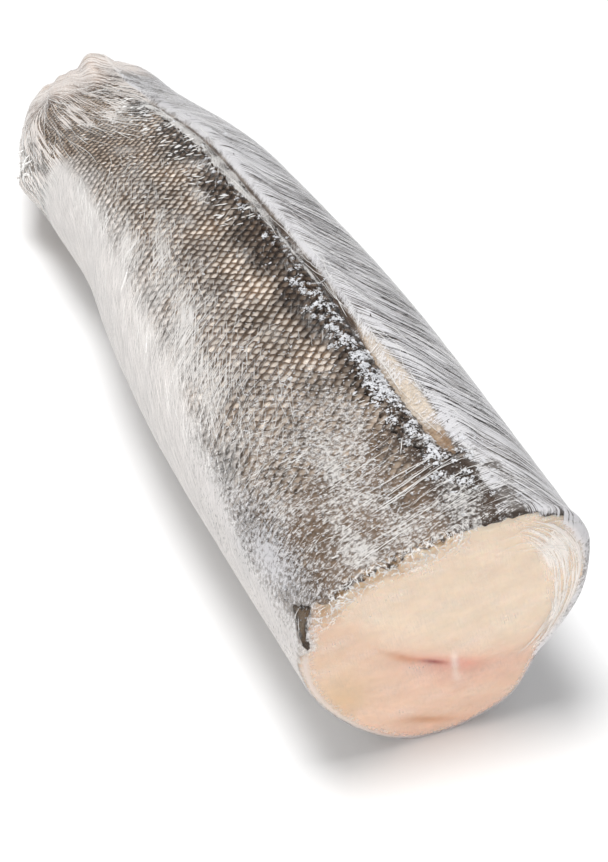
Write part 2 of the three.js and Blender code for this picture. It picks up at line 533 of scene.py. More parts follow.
# Flesh: the cut face, the tail end and the core that fills the skin.
FLESH_TOP = srgb(242, 224, 204)
FLESH_LEFT = srgb(234, 210, 185)
FLESH_LOW = srgb(236, 207, 186)
FLESH_BOTTOM = srgb(238, 203, 181)
FLESH_PINK = srgb(231, 174, 156)
FLESH_RED = srgb(152, 46, 32)
FLESH_STAIN = srgb(204, 144, 98)
FLESH_WHITE = srgb(246, 236, 228)
FLESH_YELLOW = srgb(222, 193, 147)
FLESH_GOLD = srgb(196, 158, 110)
FLESH_AROUND = 240
# Stops of the rings over the face, round its rim, along the side and over the tail end, and steps between.
FLESH_STOPS = [-FACE_REACH, 0, RIM_RADIUS, TRUNK_LENGTH, TRUNK_LENGTH + END_REACH]
FLESH_STEPS = [83, 6, 43, 15]


def flesh_colours(points, reach, turn):
    x, z = points[:, 0], points[:, 2]
    from_line = z - crease_line(x)
    within = crease_within(x)
    bone = bell(x - 1.5 - (33 - z) * 0.14, 1.3) * between(z, 18, 26, 30, 35)
    stain = bell((x + 5) + (z - 7) * 0.8, 6) * bell(z - 7.5 + (x + 5) * 0.3, 1.6)
    mottle = smooth_noise(points, (5, 5, 4), 11) + 0.7 * smooth_noise(points, (1.5, 9, 1.2), 13)
    upper_left = between(turn, 12, 26, 84, 96)
    tints = [
        (FLESH_LOW, ramp(z, 2, 12)),
        (FLESH_TOP, ramp(from_line, -4, 14)),
        (FLESH_LEFT, 0.7 * bell(x + 36, 12) * bell(z - 34, 20)),
        (FLESH_YELLOW, 0.45 * bell(x + 31, 7) * bell(z - 24, 9)),
        (FLESH_PINK, 0.35 * within * bell(from_line + 2, 6) * bell(x - 4, 18)),
        (FLESH_PINK, 0.75 * bell(x - 4, 7) * bell(from_line - 0.5, 2.4)),
        (FLESH_STAIN, 0.7 * bell(x + 12, 7) * bell(from_line - 0.5, 1.5)),
        (FLESH_PINK, 0.8 * bell(x + 3, 8) * bell(from_line - 1, 2.6)),
        (FLESH_RED, 0.95 * bell(from_line - 0.9, 0.9) * bell(x + 4.5, 3.8)),
        (FLESH_STAIN, 0.7 * bell(x - 3, 1.1) * bell(from_line + 1.6, 0.8)),
        (FLESH_WHITE, 0.6 * bone),
        (FLESH_STAIN, 0.6 * stain),
        (FLESH_GOLD, 0.6 * upper_left * ramp(reach + mottle, -3.5, 0.5)),
    ]
    return tinted(FLESH_BOTTOM, tints) * (1 + 0.018 * mottle[:, None])


def flesh_inputs(tree):
    inputs = {"Vector": object_metres(tree), "Rotation": (0, math.radians(25), 0), "Scale": (220, 220, 900)}
    fibres = add_node(tree, "ShaderNodeMapping", inputs).outputs[0]
    grain = noise_value(tree, fibres, 1.0, 4.0)
    return {
        "Base Color": varied(tree, read_attribute(tree, "tint", "Color"), grain, 0.025),
        "Roughness": 0.4,
        "Specular IOR Level": 0.25,
        "Subsurface Weight": 0.4,
        "Subsurface Radius": (1.0, 0.6, 0.4),
        "Subsurface Scale": 0.003,
        "Normal": bumped(tree, grain, 0.0001, 0.4),
    }


def make_flesh():
    angle = np.arange(FLESH_AROUND) * 360 / FLESH_AROUND
    reach = steps_through(FLESH_STOPS, FLESH_STEPS)
    edge = skin_edge(angle)[None, :]
    inner = between(reach[:, None], edge - 1.4, edge + 0.9, 340, TRUNK_LENGTH)
    out = moved(FACE_FLESH_OUT, CORE_FLESH_OUT, inner)
    grid = trunk_point(reach[:, None], angle[None, :], out)
    fibre = smooth_noise(grid, (1.8, 3, 0.9), 12)
    grid[..., 1] += 0.05 * fibre * (reach < 0)[:, None]
    ends = np.array([-FACE_REACH, TRUNK_LENGTH + END_REACH])
    points = np.concatenate([grid.reshape(-1, 3), trunk_point(ends, np.zeros(2), FACE_FLESH_OUT)])
    faces = tube_faces(len(reach), FLESH_AROUND)
    material = plain_material("fish_flesh", flesh_inputs)
    piece = mesh_object("hake_flesh", points, faces, material)
    all_reach = np.concatenate([np.repeat(reach, FLESH_AROUND), ends])
    all_turn = np.concatenate([np.tile(fish_turn(angle), len(reach)), np.zeros(2)])
    set_colours(piece, "tint", flesh_colours(points, all_reach, all_turn))


# Skin: brown on the back, silvery white on the belly, cream in the fin's wound.
BACK_SKIN = srgb(72, 57, 46)
FLANK_SKIN = srgb(116, 97, 80)
BELLY_SKIN = srgb(226, 219, 213)
RIGHT_SKIN = srgb(112, 106, 102)
EDGE_SKIN = srgb(56, 42, 32)
GOLD_SKIN = srgb(178, 146, 106)
FAR_SKIN = srgb(114, 86, 64)
TIP_SKIN = srgb(226, 214, 205)
FLAP_SKIN, FLAP_DARK = srgb(150, 122, 90), srgb(58, 44, 32)
LENS_CREAM = srgb(213, 201, 186)
LENS_TAN = srgb(170, 150, 126)
# Brown where the bare flesh starts, and a painted shadow along its left edge.
LENS_BROWN_AND_SHADE = srgb(150, 124, 98)
STRIP_TAN, STRIP_BROWN = srgb(152, 140, 128), srgb(112, 90, 72)
SKIN_AROUND = 360
SKIN_OUTER_RINGS = 150
SKIN_INNER_RINGS = 10
SKIN_END = 358


# Corners of the brown flap of skin at the left corner of the cut face: reach and turn of each.
FLAP_CORNERS = [(12.5, 93.5), (4.5, 85.5), (-0.5, 103)]


def flap_inside(reach, turn):
    """Millimetres inside each of the flap's three edges."""
    corners = np.array([(along, round_back(around)) for along, around in FLAP_CORNERS])
    place = flat_place(reach, turn)
    inside = []
    for first, second in zip(corners, np.roll(corners, -1, axis=0)):
        edge = (second - first) / np.linalg.norm(second - first)
        inside.append((place - first) @ np.array([edge[1], -edge[0]]))
    return np.stack(inside, -1)


def right_flank(turn):
    """Share of the right flank below the lines that the film draws on it."""
    return ramp(-turn, 36, 50)


def flap_colours(reach, turn):
    inside = flap_inside(reach, turn).min(-1)
    speckle = side_noise(reach, turn, (1.6, 1.2), 25)
    return blend(FLAP_DARK, FLAP_SKIN, ramp(inside + 0.5 * speckle, 0.3, 1.7) * ramp(reach, 1.0, 4.0))


def skin_colours(reach, turn):
    side = np.abs(turn)
    blotch = side_noise(reach, turn, (16, 12), 21)
    speckle = side_noise(reach, turn, (1.4, 1.1), 22)
    edge = brown_edge(reach) + 4 * blotch
    tints = [
        (FLANK_SKIN, flank_share(reach, turn)),
        (RIGHT_SKIN, ramp(-turn, 1, 6)),
        (FLANK_SKIN, right_flank(turn)),
        (FAR_SKIN, ramp(reach, 246, 286) * ramp(turn, 2, 10)),
        (BELLY_SKIN, ramp(side, edge - 12, edge + 6)),
    ]
    colours = tinted(BACK_SKIN, tints) * (1 + 0.12 * blotch + 0.12 * speckle)[..., None]
    crumpled = ramp(turn, 14, 26)
    edge_tone = blend(EDGE_SKIN, GOLD_SKIN, crumpled * ramp(speckle, -0.3, 0.8))
    edge_width = 2.6 + 2.4 * crumpled
    across = round_back(turn) - lens_middle(reach)
    strip = blend(STRIP_TAN, STRIP_BROWN, ramp(reach, *STRIP_BARE) * ramp(speckle, -0.6, 0.3))
    wound_tints = [
        # Tan on the left half of the bare flesh; the lighter cream right half is partly a painted highlight
        # of the film over it.
        (LENS_TAN, 0.85 * ramp(across + 0.5 * speckle, -0.7, 1.4)),
        # A dark line along the left edge of the bare flesh: painted shadow.
        (LENS_BROWN_AND_SHADE, 0.8 * ramp(across - lens_half_width(reach), -0.9, 0.1)),
        (LENS_BROWN_AND_SHADE, fade(reach + 3 * speckle, 38, 52)),
        (LENS_CREAM, 0.8 * bell(reach - 57, 6)),
        (strip, ramp(reach, LENS_END - 10, LENS_END + 8)),
    ]
    tints = [
        (TIP_SKIN, ramp(reach + 4 * blotch, 324, 350)),
        (edge_tone, 0.85 * fade(reach / edge_width, 0.35, 1) * fade(side, 72, 84)),
        (tinted(LENS_CREAM, wound_tints), 0.95 * in_lens(reach, turn, 0.45)),
    ]
    return tinted(colours, tints)


def skin_inputs(tree):
    grain = noise_value(tree, object_metres(tree), 900.0, 6.0, roughness=0.75)
    tint = mixed(tree, flap_share(tree), "tint", "flap_tint")
    return {
        "Base Color": varied(tree, tint, grain, 0.95),
        "Roughness": calculate(tree, "MULTIPLY_ADD", grain, 0.3, 0.35),
        "Specular IOR Level": 0.2,
        "Normal": bumped(tree, grain, 0.0003, 0.6),
    }


def skin_edge(angle):
    """How far the skin's cut edge stands back from the face's plane, wavy round the rim."""
    turn = fish_turn(angle)
    ring = np.stack([np.cos(np.radians(angle)), np.sin(np.radians(angle))], -1) * MEAN_RADIUS
    waves = 0.5 * smooth_noise(ring, (6, 6), 23) + 0.4 * smooth_noise(ring, (1.8, 1.8), 24)
    top = bell(turn + 4, 20)
    bare = 3.4 * ramp(np.abs(turn), 88, 112) + 3.2 * bell(turn - 85.5, 5) - 4.0 * bell(turn - 102, 5)
    return 0.9 - top + bare + waves * (0.8 - 0.4 * top)


def make_skin():
    angle = spread_turns(SKIN_AROUND) + BACK_ANGLE
    outer = np.linspace(0, 1, SKIN_OUTER_RINGS) ** 1.3
    share = np.concatenate([outer, np.linspace(1, 0, SKIN_INNER_RINGS)])[:, None]
    reach = skin_edge(angle)[None, :] * (1 - share) + SKIN_END * share
    inside = np.arange(len(share)) >= SKIN_OUTER_RINGS
    out = np.where(inside, SKIN_OUT - SKIN_THICKNESS, SKIN_OUT)
    grid = trunk_point(reach, angle[None, :], out[:, None])
    count = len(share) * SKIN_AROUND
    faces = np.array(grid_faces(len(share) + 1, SKIN_AROUND)) % count
    material = plain_material("fish_skin", skin_inputs)
    piece = mesh_object("hake_skin", grid.reshape(-1, 3), faces.tolist(), material)
    turn = np.broadcast_to(fish_turn(angle)[None, :], reach.shape)
    set_colours(piece, "tint", skin_colours(reach, turn).reshape(-1, 3))
    set_colours(piece, "flap_tint", flap_colours(reach, turn).reshape(-1, 3))
    set_vectors(piece, "flap", flap_inside(reach, turn).reshape(-1, 3))


# Small closed plates laid on the trunk: a scale or a flake of ice is a rim with a top and an underside.
PLATE_UNDER = -0.1


def local_frames(reach, turn, out):
    """Places on the trunk with their ways tailward, round and outward."""
    angle = turn + BACK_ANGLE
    centre = trunk_point(reach, angle, out)
    tailward = trunk_point(reach + 0.5, angle, out) - trunk_point(reach - 0.5, angle, out)
    tailward /= np.linalg.norm(tailward, axis=-1, keepdims=True)
    around = trunk_point(reach, angle + 0.7, out) - trunk_point(reach, angle - 0.7, out)
    outward = np.cross(tailward, around)
    outward /= np.linalg.norm(outward, axis=-1, keepdims=True) + 1e-9
    return centre, tailward, np.cross(outward, tailward), outward


def plate_mesh(frames, along, across, height, top, under):
    """Points and faces of many plates, each with its top, its underside and then its rim."""
    centre, tailward, around, outward = frames
    count, sides = along.shape
    rim = centre[:, None] + along[..., None] * tailward[:, None]
    rim = rim + across[..., None] * around[:, None] + height[..., None] * outward[:, None]
    tops = centre + np.reshape(top, (-1, 1)) * outward
    unders = centre + np.reshape(under, (-1, 1)) * outward
    points = np.concatenate([tops[:, None], unders[:, None], rim], 1).reshape(-1, 3)
    base = np.arange(count)[:, None] * (sides + 2)
    k = np.arange(sides)[None, :]
    first, second = base + 2 + k, base + 2 + (k + 1) % sides
    upper = np.stack([base + 0 * k, first, second], -1).reshape(-1, 3)
    lower = np.stack([base + 1 + 0 * k, second, first], -1).reshape(-1, 3)
    return points, np.concatenate([upper, lower]).tolist()


# Scales: overlapping plates in staggered lines, with a pale oval in the middle of each.
SCALE_LINES = 104
SCALE_STEP = 1.52
SCALE_SIDES = 8
SCALE_HALF_LENGTH, SCALE_HALF_WIDTH = 0.92, 1.08
SCALE_RISE, SCALE_TILT = 0.22, 0.16
SCALE_LOWEST = 0.1
# Where the scales start behind the cut, how far from the skin's end they stop, and half the bare strip
# beneath in degrees.
SCALES_START, SCALES_SHORT, BARE_UNDER = 4.0, 36, 24
# How far scales stray round, as a share of their lines' gap, and along.
STRAY_ROUND, STRAY_ALONG = 0.09, 0.2
# Room left beside the bare flesh and the wound's middle, and the low corners without scales at the cut.
FLESH_ROOM, WOUND_ROOM = 1.0, 4.2
CORNER_REACH, CORNER_TURN = 10, 80
SPOT_HALF_LENGTH, SPOT_HALF_WIDTH = 0.40, 0.56
SPOT_LEAN = -0.35
BACK_SPOT, BACK_GAP = srgb(104, 88, 74), srgb(66, 50, 38)
FLANK_SPOT, FLANK_GAP = srgb(202, 192, 181), srgb(126, 105, 86)
NEAR_SPOT, NEAR_GAP = srgb(162, 145, 128), srgb(144, 126, 109)
BELLY_SPOT, BELLY_GAP = srgb(234, 228, 223), srgb(220, 212, 205)
RIGHT_SPOT, RIGHT_GAP = srgb(126, 120, 117), srgb(88, 82, 79)
# How much of each colour is left on the brown scales towards the tail.
TAIL_BROWN = np.array([0.80, 0.69, 0.58])


def line_gap(reach):
    """Millimetres round from one line of scales to the next."""
    return math.pi * (measure_at("width", reach) + measure_at("height", reach)) / 2 / SCALE_LINES


def scale_fade(reach, turn):
    """How far the scales are sunk out of sight near the cut face, from none to whole."""
    return fade(reach + 9 * side_noise(reach, turn, (12, 9), 35), 22, 76)


def scale_places():
    """Where the scales sit: every second line is half a step on, and none sit on bare flesh or underneath."""
    rng = np.random.default_rng(SEED + 31)
    half_steps = [SCALES_START]
    while half_steps[-1] < SKIN_END - SCALES_SHORT:
        half_steps.append(half_steps[-1] + 0.5 * SCALE_STEP * line_gap(half_steps[-1]))
    half_steps = np.array(half_steps)
    row, line = np.meshgrid(np.arange(len(half_steps)), np.arange(SCALE_LINES), indexing="ij")
    used = (row + line) % 2 == 0
    row, line = row[used], line[used]
    step = 360 / SCALE_LINES
    turn = -180 + step * (line + 0.5) + rng.normal(0, STRAY_ROUND * step, row.shape)
    reach = half_steps[row] + rng.normal(0, STRAY_ALONG, row.shape)
    room = np.maximum(lens_half_width(reach) + FLESH_ROOM, WOUND_ROOM)
    clear = np.abs(round_back(turn) - lens_middle(reach)) > room
    keep = (clear | (reach < LENS_START) | (reach > STRIP_END)) & (180 - np.abs(turn) > BARE_UNDER)
    keep &= (reach > CORNER_REACH) | (np.abs(turn) < CORNER_TURN)
    keep &= scale_fade(reach, turn) < 0.98
    return reach[keep], turn[keep]


def scale_colours(reach, turn):
    rng = np.random.default_rng(SEED + 32)
    blotch = side_noise(reach, turn, (13, 10), 33)
    on_flank = flank_share(reach, turn + 3 * blotch)
    edge = brown_edge(reach) + 4 * blotch
    on_belly = ramp(np.abs(turn), edge - 14, edge + 4)
    on_near = fade(reach + 9 * blotch, 50, 115)
    on_right = ramp(-turn, 4, 9)
    shares = [on_near, 1 - on_flank, on_right, right_flank(turn), on_belly]
    spot = tinted(FLANK_SPOT, zip([NEAR_SPOT, BACK_SPOT, RIGHT_SPOT, FLANK_SPOT, BELLY_SPOT], shares))
    gap = tinted(FLANK_GAP, zip([NEAR_GAP, BACK_GAP, RIGHT_GAP, FLANK_GAP, BELLY_GAP], shares))
    own = np.exp(rng.normal(0, 0.16, len(reach)) * (1 - 0.7 * on_belly) + 0.08 * blotch)
    tailward = blend(np.ones(3), TAIL_BROWN, ramp(reach, 215, 285) * (1 - on_belly))
    return spot * own[:, None] * tailward, gap * np.exp(0.2 * blotch)[:, None] * tailward


def scale_inputs(tree):
    grain = noise_value(tree, object_metres(tree), 1300.0, 3.0)
    inputs = {"Vector": read_attribute(tree, "spot_place", "Vector")}
    far = add_node(tree, "ShaderNodeVectorMath", inputs, operation="LENGTH").outputs["Value"]
    far = calculate(tree, "ADD", far, calculate(tree, "MULTIPLY_ADD", grain, 0.8, -0.4))
    tint = mixed(tree, eased(tree, far, 0.5, 1.3), "spot", "gap")
    return {
        "Base Color": varied(tree, tint, grain, 0.3),
        "Roughness": 0.35,
        "Specular IOR Level": 0.25,
        "Normal": bumped(tree, grain, 0.0002, 0.5),
    }


def make_scales():
    rng = np.random.default_rng(SEED + 34)
    reach, turn = scale_places()
    count = len(reach)
    size = (line_gap(reach) * np.exp(rng.normal(0, 0.06, count)))[:, None]
    corner = (np.arange(SCALE_SIDES) * 2 * math.pi / SCALE_SIDES)[None, :]
    along = SCALE_HALF_LENGTH * size * np.cos(corner)
    across = SCALE_HALF_WIDTH * size * np.sin(corner)
    sunk = scale_fade(reach, turn)
    height = 0.02 + SCALE_TILT * np.cos(corner) + rng.normal(0, 0.03, along.shape)
    frames = local_frames(reach, turn, SKIN_OUT - 0.14 * sunk)
    rise = SCALE_RISE * (1 - 0.6 * sunk)
    points, faces = plate_mesh(frames, along, across, height * (1 - 0.7 * sunk[:, None]), rise, PLATE_UNDER)
    points[:, 2] = np.maximum(points[:, 2], SCALE_LOWEST)
    material = plain_material("fish_scales", scale_inputs)
    piece = mesh_object("hake_scales", points, faces, material)
    corners = SCALE_SIDES + 2
    spot, gap = scale_colours(reach, turn)
    set_colours(piece, "spot", np.repeat(spot, corners, axis=0))
    set_colours(piece, "gap", np.repeat(gap, corners, axis=0))
    grow = np.exp(rng.normal(0, 0.14, (count, 1)))
    place = np.zeros((count, corners, 3))
    place[:, 2:, 0] = (along - SPOT_LEAN * across) / (SPOT_HALF_LENGTH * size * grow)
    place[:, 2:, 1] = across / (SPOT_HALF_WIDTH * size * grow)
    set_vectors(piece, "spot_place", place.reshape(-1, 3))


# Frost: white ice in fluffy clumps beside the fin's wound and in fine specks over the back and the near end.
# Clumps of each patch: count, middle and half length along, middle and half angle round, and size.
FROST_CLUMPS = [
    (100, 66, 34, 8.0, 4.0, 0.76),
    (60, 112, 24, 8.5, 5.0, 0.62),
    (70, 205, 75, 8.0, 4.5, 0.42),
    (30, 22, 14, 0.0, 9.0, 0.50),
]
# Specks of each patch: count, middle and half length along, middle and half angle round.
FROST_SPECKS = [
    (900, 40, 32, 36, 22),
    (900, 35, 30, 88, 10),
    (700, 80, 30, 45, 22),
    (500, 190, 85, 24, 22),
    (300, 25, 22, -12, 10),
]
# A patch's half size over the spread of the places drawn for it.
PATCH_SPREAD = 1.4
FROST_FLAKES, FROST_SIDES = 22, 5
FLAKE_SIZE, SPECK_SIZE, HEAP_HEIGHT = 0.27, 0.18, 0.35
FROST_START, FROST_END, FROST_OUT = 4, 330, -0.25


def frost_inputs(tree):
    grain = noise_value(tree, object_metres(tree), 1500.0, 2.0)
    return {
        "Base Color": (*srgb(240, 241, 244), 1),
        "Roughness": calculate(tree, "MULTIPLY_ADD", grain, 0.4, 0.3),
        "Alpha": 0.68,
        "Normal": bumped(tree, grain, 0.0002),
    }


def frost_places(rng):
    """Places, sizes and heights of the flakes: some heaped in clumps, the rest alone."""
    rows = []
    for count, along, half_length, towards, half_turn, big in FROST_CLUMPS:
        clump = big * np.exp(rng.normal(0, 0.4, count))[:, None]
        middle = rng.normal(along, half_length / PATCH_SPREAD, count)[:, None]
        angle = rng.normal(towards, half_turn / PATCH_SPREAD, count)[:, None]
        away = rng.normal(0, 0.85, (2, count, FROST_FLAKES))
        row = [
            middle + clump * away[0],
            angle + clump * np.degrees(away[1] / MEAN_RADIUS),
            FLAKE_SIZE * clump**0.5 * np.exp(rng.normal(-0.1, 0.35, (count, FROST_FLAKES))),
            HEAP_HEIGHT * clump * np.exp(-(away**2).sum(0)),
        ]
        rows.append([values.ravel() for values in row])
    for count, along, half_length, towards, half_turn in FROST_SPECKS:
        reach = rng.normal(along, half_length / PATCH_SPREAD, count)
        turn = rng.normal(towards, half_turn / PATCH_SPREAD, count)
        rows.append([reach, turn, SPECK_SIZE * np.exp(rng.normal(0, 0.4, count)), np.zeros(count)])
    columns = [np.concatenate(column) for column in zip(*rows)]
    reach, turn = columns[:2]
    keep = (reach > FROST_START) & (reach < FROST_END) & (in_lens(reach, turn) < 0.5)
    return [column[keep] for column in columns]


def make_frost():
    rng = np.random.default_rng(SEED + 41)
    reach, turn, size, heaped = frost_places(rng)
    count, shape = len(reach), (len(reach), FROST_SIDES)
    corner = np.arange(FROST_SIDES) * 2 * math.pi / FROST_SIDES
    radius = size[:, None] * rng.uniform(0.6, 1.3, shape)
    stretch = rng.uniform(1.0, 1.9, (count, 1))
    spin = rng.uniform(0, 2 * math.pi, (count, 1))
    u, w = radius * np.cos(corner) * stretch, radius * np.sin(corner)
    along, across = u * np.cos(spin) - w * np.sin(spin), u * np.sin(spin) + w * np.cos(spin)
    height = size[:, None] * rng.uniform(-0.6, 0.6, shape)
    frames = local_frames(reach, turn, FROST_OUT + heaped + rng.uniform(-0.1, 0.1, count))
    points, faces = plate_mesh(frames, along, across, height, 0.08 + 0.40 * size, PLATE_UNDER)
    material = plain_material("ice_frost", frost_inputs)
    mesh_object("ice_frost", points, faces, material, smooth=False)


# Film: a clear closed skin of its own, hazy white where it is layered, creased or frosted; the white is
# partly painted sheen off its wrinkles, and its streaks carry painted shade.
FILM_AROUND = 340
# Stops of its rings, closer together at the cut and the tail, and steps between.
FILM_STOPS = [-FACE_REACH, -16, 0, RIM_RADIUS, 50, 300, TRUNK_LENGTH, TRUNK_LENGTH + END_REACH]
FILM_STEPS = [12, 36, 8, 51, 107, 40, 11]
# Headings of the film's creases, from the way along the trunk towards the way round it.
LEFT_HEADING, CROSS_HEADING, RING_HEADING = -20, -47, 104
# The right side's lines slant more steeply the further they are from the back, up to a limit.
SCORE_HEADING, SCORE_STEEPEN, SCORE_LIMIT = 12, 1.9, 25
WARM_VEIL, PLAIN_VEIL, COOL_VEIL = srgb(236, 232, 229), srgb(240, 237, 234), srgb(236, 235, 238)
CREAM_VEIL, FAR_VEIL, TIP_VEIL = srgb(253, 248, 243), srgb(243, 235, 229), srgb(248, 243, 239)
# Patches where the film lies clear over brown skin at the tail: middle and half size along and round.
TAIL_GAPS = [
    (320, 18, 67, 5),
    (296, 10, 95, 3),
    (282, 24, 71, 3),
    (318, 6, 52, 6),
    (315, 6, 20, 7),
    (322, 5, 29, 6),
    (303, 8, -14, 3),
    (328, 4, -8, 3),
    (354, 5, 46, 5),
]
# The gather at the tail's left corner, from which the film's streaks fan out: reach and turn.
FAN_REACH, FAN_TURN = 333.5, 66
# White bands of doubled film along the wound: middle and half length, turn at the middle, its slope in
# degrees for each millimetre, and half width in degrees.
# The first band lies over the right half of the bare flesh, partly a painted highlight of the film there.
WOUND_BANDS = [(84, 30, -3.6, 0.03, 1.5), (140, 34, 3.6, 0.02, 1.3), (165, 60, -5.5, 0.0, 1.6)]
# Patches of rime, clear film and smudge: middle and half size along and round.
RIME, CLEAR, SMUDGE = (30, 34, 89, 12), (30, 22, 70, 8), (13, 17, -7, 8)
# Heights of the creases, the crinkles at the rim, the gathers at the tail and the folds on the cut.
CREASE_HEIGHT, CRINKLE_HEIGHT, GATHER_HEIGHT, FOLD_HEIGHT = 0.14, 0.7, 0.4, 0.7
# What zones add to the haze's streaks, mottle and white.
STREAK_BY_ZONE = dict(fringe=1.7, far=1.6, right=1.3, smudge=1.2, near=-0.3, tip=-1.4, calm=-2.1)
MOTTLE_BY_ZONE = dict(near=1.9, far=0.1, belly=-0.3, tip=-0.2)
WHITE_BY_ZONE = dict(belly=0.15, right=0.12, far=0.10)


def fold_depth(turn):
    """How far the film's folds reach in over the cut face from its right edge, in millimetres."""
    return 4 + 10 * bell(turn + 48, 32)


def fold_ridges(reach, turn):
    """Ridges of the folds along the cut face's right edge, drawn together at the crease's end."""
    place = np.stack([round_back(turn), 7 * reach / fold_depth(turn)], -1)
    return ramp(smooth_noise(place, (15, 1.3), 58), -0.6, 1.4)


def fan_place(reach, turn):
    """Places out from the gather at the tail's left corner, and across the streaks that fan from it."""
    along, around = FAN_REACH - reach, round_back(turn) - round_back(FAN_TURN)
    away = np.hypot(along, around)
    return np.stack([away, np.arctan2(around, along) * (5 + 0.45 * away)], -1)


def left_noise(reach, turn, sizes, seed):
    """Noise over the flattened side, drawn out along the left side's heading."""
    h = math.radians(LEFT_HEADING)
    turned = flat_place(reach, turn) @ np.array([[math.cos(h), -math.sin(h)], [math.sin(h), math.cos(h)]])
    return smooth_noise(turned, sizes, seed)


def film_zones(reach, turn):
    """Shares of the film's zones over the trunk, each from none to whole."""
    edge, side, depth = belly_edge(reach), np.abs(turn), fold_depth(turn)
    ragged = 1.2 * side_noise(reach, turn, (3.5, 1.6), 53)
    uneven = side_noise(reach, turn, (5, 4), 63)
    soft = 8 * fade(reach, 20, 48)
    wide = 13 * fade(reach, 38, 64)
    started = 6 * bell(turn - 36, 12) - 8 * bell(turn - 12, 8) - 8 * bell(turn - 60, 8)
    started = started + 14 * ramp(turn, 66, 78)
    left = wound_left(reach)
    broad = ramp(turn, -1.5, 1.5) * fade(turn + ragged, left - 1, left + 1)
    bands = broad * between(reach, 140, 190, 294, 308)
    for middle, half_length, towards, slope, half_turn in WOUND_BANDS:
        away = reach - middle
        bands = bands + bell(away / half_length, 1.0) ** 2 * bell(turn - towards - slope * away, half_turn)
    corner = 0.6 * ramp(-turn, 9, 15) * between(reach, -2, 0, 1, 5)
    inward = ramp(reach, -depth, -0.5 * depth) * fade(reach, 2, 7)
    return SimpleNamespace(
        belly=ramp(turn, edge - 9, edge + 13),
        fringe=ramp(turn, edge - 38, edge - 4) * ramp(reach, 60, 95) * (1 - 0.95 * ramp(reach, 214, 244)),
        under=ramp(side, 118, 150),
        right=ramp(-turn + 0.4 * soft * uneven, -0.5 - 0.4 * soft, 2.5 + 1.5 * soft),
        seam=np.maximum(bell(reach + 0.2, 0.9), corner),
        edge=fade(reach + 0.5 * uneven, 0.0, 1.4) * between(turn, -32, -24, 10, 24),
        bare=fade(reach, 1, 5) * ramp(side, 96, 106),
        near=fade(reach, 45, 125),
        rime=patch(reach, turn, *RIME),
        clear=patch(reach, turn, *CLEAR),
        far=ramp(reach + started, 278, 294) * ramp(turn, -26, -12),
        calm=ramp(-turn, 25, 42),
        right_flank=right_flank(turn),
        low_right=ramp(-turn, 60, 86),
        # The hem: a thin white band at the lower rim, the film's edge with a painted highlight along it.
        hem_highlight=bell(reach - 0.8, 1.1) * ramp(side, 99, 108),
        dorsal=ramp(turn, -6, 0) * fade(turn - wide, 12, 24) * ramp(reach, 10, 26),
        smudge=patch(reach, turn, *SMUDGE),
        lip=bell(turn + 3, 4) * ramp(reach, 90, 120),
        gaps=np.clip(sum(patch(reach, turn, *gap) for gap in TAIL_GAPS), 0, 1),
        bands=np.clip(bands, 0, 1),
        wound=in_lens(reach, turn, 1.2) * (fade(reach, 92, 112) + ramp(reach, *STRIP_BARE)),
        tip=ramp(reach + 3 * ragged, 324, 348),
        rim=bell(reach + 0.2, 2.4) * between(turn, 8, 22, 84, 94),
        face=fade(reach, -2.5, 0.5),
        folds=between(-turn, 2, 22, 88, 104) * inward,
    )


def weighed(zone, plain, weights):
    """What every place has, with what each zone adds to it."""
    return plain + sum(weight * getattr(zone, name) for name, weight in weights.items())


